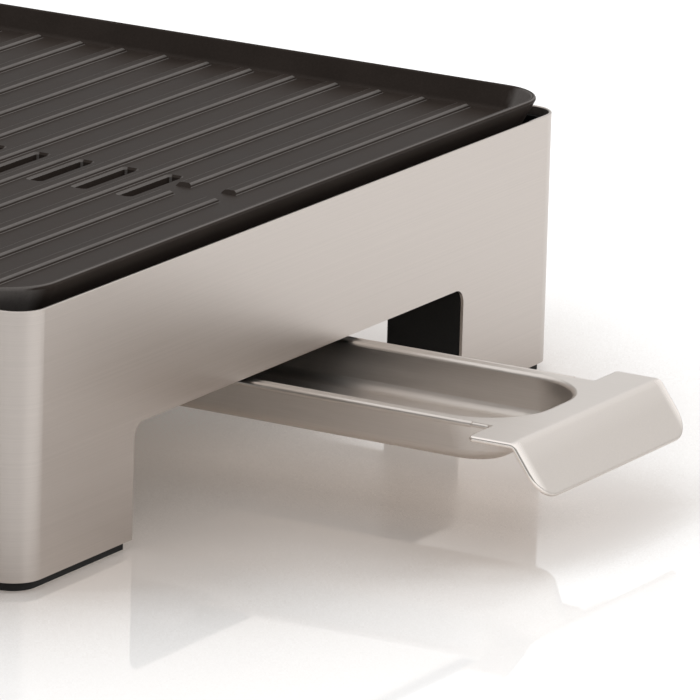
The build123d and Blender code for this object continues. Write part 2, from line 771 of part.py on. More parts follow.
def front_deck():
    """Wide front of the tray: flat deck, bend and sloping lip, its edge folded under all round."""
    wall = tray_sheet
    slope = Vector(cos(radians(lip_angle)), -sin(radians(lip_angle)))
    inward = Vector(slope.Y, -slope.X)
    center = (bend_x - bend_tangent, deck_z - lip_bend_radius)
    upper_arc = CenterArc(center, lip_bend_radius, 90, -lip_angle)
    lower_arc = CenterArc(center, lip_bend_radius - hem_thickness, 90, -lip_angle)
    tip = upper_arc @ 1 + slope * lip_straight
    under_tip = lower_arc @ 1 + slope * lip_straight
    rear_z = deck_z - hem_thickness
    outline = [
        Line((wing_rear_x, deck_z), upper_arc @ 0), upper_arc, Line(upper_arc @ 1, tip),
        Line(tip, under_tip), Line(under_tip, lower_arc @ 1), lower_arc,
        Line(lower_arc @ 0, (wing_rear_x, rear_z)), Line((wing_rear_x, rear_z), (wing_rear_x, deck_z)),
    ]
    deck = extrude(make_face(Plane.XZ * Curve(outline)), wing_width / 2, both=True)
    edge_y = wing_width / 2
    corners = [
        edge for edge in deck.edges()
        if abs(abs(edge.center().Y) - edge_y) < wall / 4 and abs(edge.length - hem_thickness) < wall / 4
    ]
    lip_edges = [edge for edge in corners if edge.center().X > bend_x]
    deck = fillet(lip_edges, min(lip_corner_radius, 0.8 * lip_straight))
    rear_edges = deck.edges().filter_by(Axis.Z).group_by(Axis.X)[0]
    deck = fillet(rear_edges, wing_corner_radius)
    for side in (1, -1):
        deck = fillet(outer_edges(deck, side), min(hem_round, 0.45 * hem_thickness))
    skin_arc = CenterArc(center, lip_bend_radius - wall, 90, -lip_angle)
    skin_end = skin_arc @ 1 + slope * (lip_straight - hem_width)
    hollow_end = skin_end + inward * (2 * hem_thickness)
    hollow_rear_x = wing_rear_x + hem_width
    hollow = [
        Line((hollow_rear_x, deck_z - wall), skin_arc @ 0), skin_arc, Line(skin_arc @ 1, skin_end),
        Line(skin_end, hollow_end), Line(hollow_end, (hollow_rear_x, hollow_end.Y)),
        Line((hollow_rear_x, hollow_end.Y), (hollow_rear_x, deck_z - wall)),
    ]
    return deck - extrude(make_face(Plane.XZ * Curve(hollow)), edge_y - hem_width, both=True)


def tray_runner():
    """Z-shaped runner on the +Y side: top flange under the pan, web, and the ledge for the bead."""
    web_high_y = runner_web_y + runner_sheet
    web = block(runner_rear_x, runner_front_x, runner_web_y, web_high_y, ledge_z - runner_sheet, pan_z)
    ledge_low_y = basin_width / 2 + tray_sheet + ledge_gap
    ledge = block(runner_rear_x, runner_front_x, ledge_low_y, web_high_y, ledge_z - runner_sheet, ledge_z)
    flange = block(
        runner_rear_x, runner_front_x, runner_web_y, web_high_y + runner_flange, pan_z - runner_sheet, pan_z
    )
    runner = web + ledge + flange
    for x in runner_screw_places:
        runner -= screw_hole(x, runner_screw_y, pan_z - runner_sheet - overrun, pan_z + overrun)
    return runner


def thermostat():
    """Thermostat body behind the band, with its bush through the steel and two terminal tabs."""
    half = thermostat_width / 2
    half_high = thermostat_height / 2
    body = block(
        -inner_end_x, thermostat_back_x, -knob_offset - half, -knob_offset + half,
        control_z - half_high, control_z + half_high,
    )
    body = fillet(body.edges().filter_by(Axis.X), liner_corner_radius)
    bush_front_x = -end_x - dial_thickness - clamp_nut_thickness
    body += rod_x(bush_radius, bush_front_x, -inner_end_x + overrun, -knob_offset, control_z)
    bore_end_x = -inner_end_x + thermostat_bore_depth
    return body - rod_x(shaft_radius + shaft_gap, bush_front_x - overrun, bore_end_x, -knob_offset, control_z)


def thermostat_shaft():
    """Shaft that the knob turns."""
    inner_x = -inner_end_x + thermostat_bore_depth - shaft_gap
    return rod_x(shaft_radius, knob_back_x - shaft_grip, inner_x, -knob_offset, control_z)


def clamp_nut():
    """Hexagon nut that clamps dial plate, band and thermostat together."""
    hexagon = RegularPolygon(clamp_nut_flats / 2, 6, major_radius=False) - Circle(bush_radius + fit / 2)
    place = Pos(-end_x - dial_thickness, -knob_offset, control_z) * Rot(0, -90, 0)
    return place * extrude(hexagon, clamp_nut_thickness)


def dial_plate():
    """Thin round plate behind the knob."""
    disc = rod_x(dial_radius, -end_x - dial_thickness, -end_x, -knob_offset, control_z)
    return disc - end_hole_round(bush_radius + fit, -knob_offset)


def knob():
    """Round knob, narrowing to its front, hollow behind to clear the clamp nut."""
    turned = extrude(Circle(knob_radius), knob_height, taper=knob_taper)
    turned = fillet(turned.edges().group_by(Axis.Z)[-1], knob_round)
    flute = Pos(0, 0, knob_height / 2) * Cylinder(knob_flute_radius, knob_height + overrun)
    flute_ring = PolarLocations(knob_radius + knob_flute_radius - knob_flute_depth, knob_flute_count)
    turned -= [place * flute for place in flute_ring]
    turned -= Pos(0, 0, knob_recess_depth / 2) * Cylinder(knob_recess_radius, knob_recess_depth)
    turned -= Pos(0, 0, shaft_grip / 2) * Cylinder(shaft_radius, shaft_grip)
    turned = Pos(knob_back_x, -knob_offset, control_z) * Rot(0, -90, 0) * turned
    return turned - knob_pointer()


def knob_pointer():
    """Pale bar let into the front of the knob, pointing up."""
    high_z = control_z + knob_radius - knob_height * tan(radians(knob_taper)) - knob_round
    half = pointer_width / 2
    return block(
        knob_front_x, knob_front_x + pointer_thickness, -knob_offset - half, -knob_offset + half,
        high_z - pointer_length, high_z,
    )


def sensor_bulb():
    """Sensor bulb of the thermostat, just under the plate."""
    low_x = run_cross_x + element_turn_distance
    return rod_x(bulb_radius, low_x, low_x + bulb_length, bulb_y, bulb_z)


def bulb_clip():
    """Strip clip that holds the bulb over the reflector."""
    x = run_cross_x + element_turn_distance + bulb_length / 2
    half = clip_width / 2
    bore = bulb_radius + fit / 2
    grip = rod_x(bore + clip_wall, x - half, x + half, bulb_y, bulb_z)
    stem_y = clip_stem / 2
    stem_top = bulb_z - bore - clip_wall / 2
    stem = block(x - half, x + half, bulb_y - stem_y, bulb_y + stem_y, reflector_top, stem_top)
    foot_y = clip_foot / 2
    base_top = reflector_top + clip_wall
    base = block(x - half, x + half, bulb_y - foot_y, bulb_y + foot_y, reflector_top, base_top)
    clear_above = block(
        x - clip_width, x + clip_width, bulb_y - clip_foot, bulb_y + clip_foot,
        plate_under - bulb_plate_gap, plate_under + overrun,
    )
    return grip + stem + base - rod_x(bore, x - clip_width, x + clip_width, bulb_y, bulb_z) - clear_above


def capillary():
    """Thin tube from the bulb, over the reflector's wall, to the back of the thermostat."""
    start_x = run_cross_x + element_turn_distance
    drop_x = reflector_low_x - 2 * capillary_bend_radius
    entry_y = -knob_offset + thermostat_width / 4
    path = FilletPolyline(
        (start_x, bulb_y, bulb_z), (drop_x, bulb_y, bulb_z), (drop_x, entry_y, bulb_z),
        (drop_x, entry_y, control_z), (thermostat_back_x, entry_y, control_z),
        radius=capillary_bend_radius,
    )
    return tube_along(path, capillary_radius)


def lamp_lens():
    """Pilot lamp lens: stem through the band, rim and low dome outside."""
    stem = rod_x(lamp_lens_radius, -end_x, -inner_end_x + lamp_lens_depth, 0, control_z)
    rim = rod_x(lamp_rim_radius, -end_x - lamp_rim_thickness, -end_x, 0, control_z)
    dome_radius = (lamp_lens_radius**2 + lamp_dome_height**2) / (2 * lamp_dome_height)
    ball_x = -end_x - lamp_rim_thickness - lamp_dome_height + dome_radius
    ball = Pos(ball_x, 0, control_z) * Sphere(dome_radius)
    tip_x = -end_x - lamp_rim_thickness - lamp_dome_height
    return stem + rim + (ball & rod_x(lamp_lens_radius, tip_x - overrun, -end_x, 0, control_z))


def lamp_body():
    """Holder of the pilot lamp behind the band."""
    back_x = -inner_end_x + lamp_body_length
    body = rod_x(lamp_body_radius, -inner_end_x, back_x, 0, control_z)
    bore_x = -inner_end_x + lamp_lens_depth
    return body - rod_x(lamp_lens_radius + fit / 2, -inner_end_x - overrun, bore_x, 0, control_z)


def inlet_pin_places():
    """Across and up from the inlet's middle: line, earth, neutral."""
    low = -inlet_pin_raise / 2
    return [(-inlet_pin_spacing, low), (0.0, -low), (inlet_pin_spacing, low)]


def inlet_pin(across, up):
    """Flat contact pin, with its tab behind the inlet."""
    y = inlet_offset + across
    z = control_z + up
    half = inlet_pin_width / 2
    half_high = inlet_pin_height / 2
    front_x = -end_x - inlet_flange_thickness + inlet_pin_short
    return block(front_x, inlet_back_x + inlet_tab, y - half, y + half, z - half_high, z + half_high)


def mains_inlet():
    """Appliance inlet: flange outside the band, socket body inside."""
    half_flange = inlet_flange_width / 2
    flange = inlet_block(half_flange, inlet_flange_height / 2, -end_x - inlet_flange_thickness, -end_x)
    flange = fillet(flange.edges().filter_by(Axis.X), liner_corner_radius)
    inlet = flange + inlet_block(inlet_width / 2, inlet_height / 2, -end_x, inlet_back_x)
    inlet -= inlet_block(
        inlet_width / 2 - inlet_wall, inlet_height / 2 - inlet_wall,
        -end_x - inlet_flange_thickness - overrun, inlet_back_x - inlet_wall,
    )
    for across, up in inlet_pin_places():
        inlet -= inlet_pin(across, up)
    return inlet


def wire(*points):
    """Insulated wire along straight runs and small arcs."""
    return tube_along(FilletPolyline(*points, radius=wire_bend_radius), wire_radius)


def supply_wires():
    """Line to the thermostat, switched line and neutral to the element, earth to the base pan."""
    tab_x = inlet_back_x + inlet_tab
    pin_x = element_end_x - seal_length - pin_length / 2
    pin_low_z = element_z - pin_radius
    low_z = control_z - inlet_pin_raise / 2
    line_y = inlet_offset - inlet_pin_spacing
    neutral_y = inlet_offset + inlet_pin_spacing
    entry_z = control_z - thermostat_height / 4
    entry_y = -knob_offset + thermostat_width / 4
    exit_y = -knob_offset - thermostat_width / 4
    earth_z = control_z + inlet_pin_raise / 2
    line = wire(
        (tab_x, line_y, low_z), (wire_x, line_y, low_z), (wire_x, entry_y, entry_z),
        (thermostat_back_x, entry_y, entry_z),
    )
    neutral = wire(
        (tab_x, neutral_y, low_z), (wire_x, neutral_y, low_z), (wire_x, run_outer_y, low_z),
        (pin_x, run_outer_y, low_z), (pin_x, run_outer_y, pin_low_z),
    )
    switched = wire(
        (thermostat_back_x, exit_y, entry_z), (wire_x, exit_y, entry_z), (wire_x, -run_outer_y, entry_z),
        (pin_x, -run_outer_y, entry_z), (pin_x, -run_outer_y, pin_low_z),
    )
    earth = wire(
        (tab_x, inlet_offset, earth_z), (wire_x, inlet_offset, earth_z),
        (wire_x, inlet_offset, pan_top + earth_stud_height / 2),
    )
    return {"wire_line": line, "wire_neutral": neutral, "wire_switched": switched, "wire_earth": earth}


def earth_stud():
    """Small post on the base pan, bored for the end of the earth wire."""
    top_z = pan_top + earth_stud_height
    stud = post(earth_stud_radius, pan_top, top_z, wire_x, inlet_offset)
    middle_z = pan_top + earth_stud_height / 2
    return stud - post(wire_radius + fit / 2, middle_z, top_z + overrun, wire_x, inlet_offset)


os.makedirs("parts", exist_ok=True)

# Band, legs and feet
save("housing_shell", housing_shell())
liner = leg_liner()
pad = foot()
for end_name, x_sign in (("tray_end", 1), ("control_end", -1)):
    for side_name, y_sign in (("front", -1), ("back", 1)):
        save(f"leg_liner_{side_name}_{end_name}", to_corner(liner, x_sign, y_sign))
        save(f"foot_{side_name}_{end_name}", to_corner(pad, x_sign, y_sign))

# Base pan, trim ring and their fixings
save("base_pan", base_pan())
save("side_studs", *side_studs())
save("side_nuts", *side_nuts())
save("liner_screws", *[screw(x, y, pan_top, False) for x, y in all_liner_screw_places()])
save("trim_ring", trim_ring())
save("ring_screws", *[screw(x, s * column_y, pan_z, True) for x in column_places for s in (-1, 1)])

# Reflector, chute and rests
save("heat_reflector", heat_reflector())
save("grease_chute", grease_chute())
for number, (x, y) in enumerate(rest_places, 1):
    save(f"plate_rest_{number}", plate_rest(x, y))
save("rest_rings", *[rest_ring(x, y) for x, y in rest_places])
save("rest_screws", *[screw(x, y, pan_z, True) for x, y in rest_places])

# Heating element
save("heating_element", heating_element())
run_places = [-run_outer_y, -run_inner_y, run_inner_y, run_outer_y]
save("element_clips", *[element_clip(x, y) for x in clip_places for y in run_places])
save("element_seals", *[element_seal(side) for side in (-1, 1)])
save("element_pins", *[element_pin(side) for side in (-1, 1)])

# Grill plate
save("grill_plate", grill_plate())

# Drip tray and runners
save("drip_tray", drip_tray())
runner = tray_runner()
save("tray_runner_back", runner)
save("tray_runner_front", to_corner(runner, 1, -1))
runner_seat_z = pan_z - runner_sheet
save(
    "runner_screws",
    *[screw(x, s * runner_screw_y, runner_seat_z, True) for x in runner_screw_places for s in (-1, 1)],
)

# Controls
save("thermostat", thermostat())
save("thermostat_shaft", thermostat_shaft())
save("clamp_nut", clamp_nut())
save("dial_plate", dial_plate())
save("knob", knob())
save("knob_pointer", knob_pointer())
save("sensor_bulb", sensor_bulb())
save("bulb_clip", bulb_clip())
save("capillary", capillary())
save("lamp_lens", lamp_lens())
save("lamp_body", lamp_body())
save("mains_inlet", mains_inlet())
save("inlet_pins", *[inlet_pin(across, up) for across, up in inlet_pin_places()])
save("earth_stud", earth_stud())
for node, piece in supply_wires().items():
    save(node, piece)
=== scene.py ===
import math

import bpy
from mathutils import Matrix, Vector


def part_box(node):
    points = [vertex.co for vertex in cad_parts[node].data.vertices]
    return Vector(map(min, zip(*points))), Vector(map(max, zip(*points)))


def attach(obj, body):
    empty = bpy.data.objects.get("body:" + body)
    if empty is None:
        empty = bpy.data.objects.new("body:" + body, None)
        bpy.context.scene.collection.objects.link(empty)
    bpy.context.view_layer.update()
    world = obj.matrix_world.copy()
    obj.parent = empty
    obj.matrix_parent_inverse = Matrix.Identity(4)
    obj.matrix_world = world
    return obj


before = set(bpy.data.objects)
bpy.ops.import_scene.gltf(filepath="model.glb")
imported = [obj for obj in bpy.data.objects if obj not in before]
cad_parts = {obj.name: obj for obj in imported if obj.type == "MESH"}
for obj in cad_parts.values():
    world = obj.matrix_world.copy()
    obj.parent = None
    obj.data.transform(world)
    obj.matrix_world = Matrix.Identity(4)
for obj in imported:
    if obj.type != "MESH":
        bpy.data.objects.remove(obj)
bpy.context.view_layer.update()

# Steel band
# The housing is one strip of stainless steel, bent round its four corners and cut out into legs. It was
# brushed along the strip before bending, so that its fine lines lie level all the way round.


def new_finish(name, metal, rough):
    """A fresh material with its node tree and its surface shader."""
    finish = bpy.data.materials.new(name)
    finish.use_nodes = True
    tree = finish.node_tree
    shader = tree.nodes["Principled BSDF"]
    shader.inputs["Metallic"].default_value = metal
    shader.inputs["Roughness"].default_value = rough
    return finish, tree, shader


def laid_on(tree, per_metre, centre=(0.0, 0.0, 0.0)):
    """The piece's own coordinates from a centre, with so many units to the metre along each axis."""
    where = tree.nodes.new("ShaderNodeTexCoord")
    place = tree.nodes.new("ShaderNodeMapping")
    place.inputs["Scale"].default_value = per_metre
    place.inputs["Location"].default_value = [-c * s for c, s in zip(centre, per_metre)]
    tree.links.new(where.outputs["Object"], place.inputs["Vector"])
    return place.outputs["Vector"]


def grain(tree, per_metre, detail=2.0, harsh=0.5):
    """Noise with so many swings to the metre along each axis."""
    noise = tree.nodes.new("ShaderNodeTexNoise")
    noise.inputs["Scale"].default_value = 1.0
    noise.inputs["Detail"].default_value = detail
    noise.inputs["Roughness"].default_value = harsh
    tree.links.new(laid_on(tree, per_metre), noise.inputs["Vector"])
    return noise.outputs["Fac"]


def feed(tree, source, socket):
    """A pattern joined to a socket, or a plain value set on it."""
    if isinstance(source, bpy.types.NodeSocket):
        tree.links.new(source, socket)
    else:
        socket.default_value = source


def mingle(tree, first, second, share):
    """Two patterns or values mixed, with a share of the second."""
    mix = tree.nodes.new("ShaderNodeMix")
    for socket, source in (("Factor", share), ("A", first), ("B", second)):
        feed(tree, source, mix.inputs[socket])
    return mix.outputs["Result"]


def shades(tree, pattern, *stops):
    """A pattern turned into colours, each stop a place and a colour."""
    ramp = tree.nodes.new("ShaderNodeValToRGB")
    steps = ramp.color_ramp.elements
    while len(steps) < len(stops):
        steps.new(1.0)
    for step, (place, colour) in zip(steps, stops):
        step.position = place
        step.color = (*colour, 1.0)
    tree.links.new(pattern, ramp.inputs["Fac"])
    return ramp.outputs["Color"]


def spread(tree, pattern, low, high):
    """A noise pattern's usual span turned into a span of values."""
    span = tree.nodes.new("ShaderNodeMapRange")
    usual_low, usual_high = 0.3, 0.7
    for socket, value in (
        ("From Min", usual_low), ("From Max", usual_high), ("To Min", low), ("To Max", high),
    ):
        span.inputs[socket].default_value = value
    tree.links.new(pattern, span.inputs["Value"])
    return span.outputs["Result"]


def relief(tree, pattern, depth):
    """Small bumps of a pattern, with a depth in metres."""
    bump = tree.nodes.new("ShaderNodeBump")
    bump.inputs["Distance"].default_value = depth
    tree.links.new(pattern, bump.inputs["Height"])
    return bump.outputs["Normal"]


def surface(tree, shader, colour=None, rough=None, normal=None):
    """Patterns joined to the shader of a finish."""
    for socket, source in (("Base Color", colour), ("Roughness", rough), ("Normal", normal)):
        if source is not None:
            tree.links.new(source, shader.inputs[socket])


def dress(finish, *names):
    """A finish put on CAD nodes by name."""
    for name in names:
        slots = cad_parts[name].data.materials
        slots.clear()
        slots.append(finish)


def lie_along(tree, shader, axis, amount):
    """Brushing lines round an axis, across which highlights stretch."""
    lines = tree.nodes.new("ShaderNodeTangent")
    lines.direction_type = "RADIAL"
    lines.axis = axis
    quarter_turn = 0.25
    shader.inputs["Anisotropic"].default_value = amount
    shader.inputs["Anisotropic Rotation"].default_value = quarter_turn
    tree.links.new(lines.outputs["Tangent"], shader.inputs["Tangent"])


band_steel, tree, shader = new_finish("band_steel", 1.0, 0.36)
fine_lines = grain(tree, (7.0, 7.0, 3200.0), 3.0)
broad_lines = grain(tree, (3.0, 3.0, 600.0))
brushing = mingle(tree, fine_lines, broad_lines, 0.25)
surface(
    tree, shader,
    shades(tree, brushing, (0.3, (0.54, 0.492, 0.456)), (0.7, (0.597, 0.545, 0.507))),
    spread(tree, brushing, 0.31, 0.41),
    relief(tree, fine_lines, 0.000012),
)
lie_along(tree, shader, "Z", 0.4)
dress(band_steel, "housing_shell")

# Leg liners
# Four black mouldings of heat-proof plastic line the legs from inside and screw up under the base pan.
# Their mould was spark-eroded, which leaves a fine even grain.
ends = [f"{side}_{end}" for side in ("front", "back") for end in ("tray_end", "control_end")]
liner_black, tree, shader = new_finish("liner_black", 0.0, 0.5)
shader.inputs["Specular IOR Level"].default_value = 0.3
moulded = grain(tree, (1800.0, 1800.0, 1800.0))
cloudy = grain(tree, (30.0, 30.0, 30.0))
surface(
    tree, shader,
    shades(tree, cloudy, (0.3, (0.007, 0.007, 0.007)), (0.7, (0.011, 0.011, 0.0105))),
    spread(tree, moulded, 0.44, 0.6),
    relief(tree, moulded, 0.00004),
)
dress(liner_black, *[f"leg_liner_{end}" for end in ends])

# Feet
# A pad of black rubber is pressed into the bottom of each liner by a peg. The rubber is dull, with a
# greyish bloom.
foot_rubber, tree, shader = new_finish("foot_rubber", 0.0, 0.85)
bloom = mingle(tree, grain(tree, (60.0, 60.0, 60.0), 4.0), grain(tree, (2500.0, 2500.0, 2500.0)), 0.4)
surface(
    tree, shader,
    shades(tree, bloom, (0.35, (0.008, 0.008, 0.008)), (0.65, (0.018, 0.018, 0.018))),
    spread(tree, bloom, 0.75, 0.92),
    relief(tree, bloom, 0.00005),
)
dress(foot_rubber, *[f"foot_{end}" for end in ends])

# Base pan
# A pressed steel pan closes the underside and carries everything inside. It has a baked black coat with
# the faint dimples of sprayed powder.
pan_coat, tree, shader = new_finish("pan_coat", 0.0, 0.45)
dimples = grain(tree, (420.0, 420.0, 420.0), 1.0)
patches = grain(tree, (14.0, 14.0, 14.0))
surface(
    tree, shader,
    shades(tree, patches, (0.3, (0.013, 0.013, 0.013)), (0.7, (0.022, 0.022, 0.021))),
    spread(tree, patches, 0.38, 0.52),
    relief(tree, dimples, 0.00006),
)
dress(pan_coat, "base_pan")

# Studs, nuts, rests and screws
# Weld studs with nuts hold the band to the pan, and slotted screws hold the mouldings and rests. They are
# plain steel with a zinc coat that clouds from bluish to straw.
zinc_coat, tree, shader = new_finish("zinc_coat", 1.0, 0.3)
clouds = grain(tree, (220.0, 220.0, 220.0), 3.0)
tumbled = grain(tree, (2600.0, 2600.0, 2600.0))
surface(
    tree, shader,
    shades(tree, clouds, (0.3, (0.56, 0.58, 0.62)), (0.55, (0.66, 0.66, 0.66)), (0.75, (0.68, 0.64, 0.54))),
    spread(tree, tumbled, 0.22, 0.4),
    relief(tree, tumbled, 0.00001),
)
rests = [f"plate_rest_{number}" for number in (1, 2, 3, 4)]
screws = ["liner_screws", "ring_screws", "rest_screws", "runner_screws"]
dress(zinc_coat, "side_studs", "side_nuts", "rest_rings", *screws, *rests)

# Trim ring
# A ring of black heat-proof plastic fills the step between band and plate. It is moulded with a satin
# skin and screwed up from the pan through its columns.
ring_black, tree, shader = new_finish("ring_black", 0.0, 0.4)
skin = grain(tree, (900.0, 900.0, 900.0))
surface(
    tree, shader,
    shades(tree, skin, (0.3, (0.007, 0.007, 0.007)), (0.7, (0.012, 0.012, 0.012))),
    spread(tree, skin, 0.34, 0.48),
    relief(tree, skin, 0.00003),
)
dress(ring_black, "trim_ring")

# Heat reflector, chute and clips
# A shallow tray of aluminium-coated sheet throws the heat up, with a chute through it for the fat and
# bent clips for the element. The sheet was rolled lengthwise, and heat has browned it a little.
bright_sheet, tree, shader = new_finish("bright_sheet", 1.0, 0.25)
rolling = grain(tree, (12.0, 1400.0, 1400.0), 3.0)
browning = grain(tree, (16.0, 16.0, 16.0), 4.0, 0.6)
surface(
    tree, shader,
    shades(
        tree, browning, (0.32, (0.78, 0.77, 0.75)), (0.55, (0.74, 0.72, 0.68)), (0.75, (0.62, 0.55, 0.45)),
    ),
    spread(tree, rolling, 0.18, 0.34),
    relief(tree, rolling, 0.00001),
)
dress(bright_sheet, "heat_reflector", "grease_chute", "element_clips", "bulb_clip")

# Heating element
# One tube of heat-resisting steel, bent into two loops, with the heating wire packed inside. Its skin was
# oxidised dark and mottled before it was fitted.
sheath, tree, shader = new_finish("element_sheath", 0.8, 0.45)
mottle = grain(tree, (240.0, 240.0, 240.0), 4.0, 0.6)
surface(
    tree, shader,
    shades(
        tree, mottle, (0.3, (0.05, 0.047, 0.045)), (0.6, (0.10, 0.092, 0.085)), (0.75, (0.13, 0.10, 0.08)),
    ),
    spread(tree, mottle, 0.36, 0.58),
    relief(tree, mottle, 0.00002),
)
dress(sheath, "heating_element")

# Element ends
# Ceramic beads seal the tube's ends, and a steel pin comes out of each for the wire. The beads are
# glazed off-white with fine dark specks.
bead_ceramic, tree, shader = new_finish("bead_ceramic", 0.0, 0.3)
specks = grain(tree, (1500.0, 1500.0, 1500.0), 2.0)
surface(
    tree, shader,
    shades(tree, specks, (0.26, (0.45, 0.40, 0.33)), (0.34, (0.76, 0.73, 0.66)), (0.7, (0.82, 0.80, 0.74))),
    spread(tree, specks, 0.22, 0.36),
    relief(tree, specks, 0.00001),
)
dress(bead_ceramic, "element_seals")
dress(zinc_coat, "element_pins")

# Grill plate
# The plate is an aluminium casting with a raised rim, ribs and drain slots, sprayed with a charcoal
# non-stick coat. The coat is dull with a fine even grit. A paler colour is painted on the rib shoulders and
# slot edges, where the surface leans along the plate, as a painted highlight.


def axes(tree, vector):
    """The three parts of a vector."""
    split = tree.nodes.new("ShaderNodeSeparateXYZ")
    tree.links.new(vector, split.inputs["Vector"])
    return split.outputs


def worked_out(tree, operation, first, second=0.0):
    """One step of arithmetic on patterns or values."""
    step = tree.nodes.new("ShaderNodeMath")
    step.operation = operation
    feed(tree, first, step.inputs[0])
    feed(tree, second, step.inputs[1])
    return step.outputs[0]


def overlaid(tree, under, over, mask):
    """One colour laid over another where a mask is white."""
    mix = tree.nodes.new("ShaderNodeMix")
    mix.data_type = "RGBA"
    factor, first_colour, second_colour = (mix.inputs[index] for index in (0, 6, 7))
    for socket, source in ((factor, mask), (first_colour, under), (second_colour, over)):
        feed(tree, source, socket)
    return mix.outputs[2]


black, white = (0.0, 0.0, 0.0), (1.0, 1.0, 1.0)
plate_coat, tree, shader = new_finish("plate_coat", 0.0, 0.42)
shader.inputs["Specular IOR Level"].default_value = 0.03
grit = grain(tree, (1300.0, 1300.0, 1300.0), 3.0, 0.6)
spray = grain(tree, (55.0, 55.0, 55.0), 3.0)
coat = mingle(tree, spray, grit, 0.45)
charcoal = shades(tree, coat, (0.32, (0.027, 0.0208, 0.0174)), (0.68, (0.038, 0.0296, 0.0252)))
# Painted highlight: a paler copy of the coat, laid where the surface leans along X, on rib shoulders and
# slot edges.
painted_highlight_coat = shades(tree, coat, (0.32, (0.105, 0.095, 0.089)), (0.68, (0.14, 0.127, 0.119)))
lean = axes(tree, tree.nodes.new("ShaderNodeNewGeometry").outputs["Normal"])
lean_along = worked_out(tree, "ABSOLUTE", lean["X"])
painted_highlight_mask = shades(tree, lean_along, (0.12, black), (0.3, white), (0.74, white), (0.86, black))
surface(
    tree, shader,
    overlaid(tree, charcoal, painted_highlight_coat, painted_highlight_mask),
    spread(tree, coat, 0.38, 0.48),
    relief(tree, grit, 0.00003),
)
dress(plate_coat, "grill_plate")

# Drip tray
# The tray is drawn from one sheet of stainless steel: a long basin, rolled beads along its edges, and a
# wider hemmed deck with a turned-down lip. Its satin polish lies along its length, duller where the sheet
# was stretched, and the rolled edges are rubbed bright.
tray_steel, tree, shader = new_finish("tray_steel", 1.0, 0.3)
polish = grain(tree, (60.0, 2600.0, 2600.0), 3.0)
handling = grain(tree, (25.0, 25.0, 25.0), 3.0)
satin = shades(
    tree, mingle(tree, polish, handling, 0.4), (0.3, (0.655, 0.607, 0.563)), (0.7, (0.715, 0.663, 0.62)),
)
place = axes(tree, tree.nodes.new("ShaderNodeTexCoord").outputs["Object"])
off_middle = worked_out(tree, "ABSOLUTE", place["Y"])
bead_from, bead_to, bead_blur = 0.0321, 0.034, 0.0005
hem_from, hem_blur = 0.0468, 0.0006
rolled_strips = shades(
    tree, off_middle, (bead_from - bead_blur, black), (bead_from, white), (bead_to, white),
    (bead_to + bead_blur, black), (hem_from - hem_blur, black), (hem_from, white),
)
lean = axes(tree, tree.nodes.new("ShaderNodeNewGeometry").outputs["Normal"])
off_level = shades(tree, lean["Z"], (0.9, white), (0.98, black))
rolled = worked_out(tree, "MULTIPLY", rolled_strips, off_level)
rolled_colour, rolled_roughness = (0.9, 0.84, 0.79, 1.0), 0.1
tray_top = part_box("drip_tray")[1].z
dull_from, dull_full = tray_top - 0.002, tray_top - 0.005
stretched = shades(tree, place["Z"], (dull_full, white), (dull_from, black))
rubbing = mingle(tree, polish, handling, 0.5)
flat_roughness = spread(tree, rubbing, 0.27, 0.34)
stretched_roughness = spread(tree, rubbing, 0.44, 0.52)
sheet_roughness = mingle(tree, flat_roughness, stretched_roughness, stretched)
surface(
    tree, shader,
    overlaid(tree, satin, rolled_colour, rolled),
    mingle(tree, sheet_roughness, rolled_roughness, rolled),
    relief(tree, polish, 0.000002),
)
dress(tray_steel, "drip_tray")

# Tray runners
# Two angles of hot-dipped zinc sheet under the pan carry the tray's beads. The zinc shows the flat
# crystals that it sets in.
runner_zinc, tree, shader = new_finish("runner_zinc", 1.0, 0.35)
crystals = tree.nodes.new("ShaderNodeTexVoronoi")
crystals.inputs["Scale"].default_value = 1.0
tree.links.new(laid_on(tree, (160.0, 160.0, 160.0)), crystals.inputs["Vector"])
flake = tree.nodes.new("ShaderNodeSeparateColor")
tree.links.new(crystals.outputs["Color"], flake.inputs["Color"])
surface(
    tree, shader,
    shades(tree, flake.outputs["Red"], (0.1, (0.46, 0.47, 0.49)), (0.9, (0.64, 0.65, 0.67))),
    spread(tree, flake.outputs["Green"], 0.28, 0.42),
    relief(tree, grain(tree, (900.0, 900.0, 900.0)), 0.00001),
)
dress(runner_zinc, "tray_runner_back", "tray_runner_front")

# Thermostat and pilot lamp bodies
# The thermostat and the body of the pilot lamp sit behind the band at the control end. Both are moulded in
# brown-black phenolic resin with a wood-flour filling, which leaves fine pale flecks.
phenolic, tree, shader = new_finish("phenolic", 0.0, 0.35)
flecks = grain(tree, (2200.0, 2200.0, 2200.0), 3.0, 0.65)
surface(
    tree, shader,
    shades(
        tree, flecks, (0.35, (0.016, 0.011, 0.009)), (0.62, (0.030, 0.021, 0.016)),
        (0.75, (0.10, 0.07, 0.05)),
    ),
    spread(tree, flecks, 0.28, 0.42),
    relief(tree, flecks, 0.00001),
)
dress(phenolic, "thermostat", "lamp_body")

# Shaft and clamp nut
# The shaft that the knob turns and the flat nut on the thermostat's bush are turned from steel bar, and
# keep the fine rings of the tool.
turned_steel, tree, shader = new_finish("turned_steel", 1.0, 0.28)
tool_rings = grain(tree, (5200.0, 300.0, 300.0), 2.0)
surface(
    tree, shader,
    shades(tree, tool_rings, (0.3, (0.54, 0.53, 0.52)), (0.7, (0.68, 0.67, 0.66))),
    spread(tree, tool_rings, 0.2, 0.36),
    relief(tree, tool_rings, 0.00001),
)
dress(turned_steel, "thermostat_shaft", "clamp_nut")

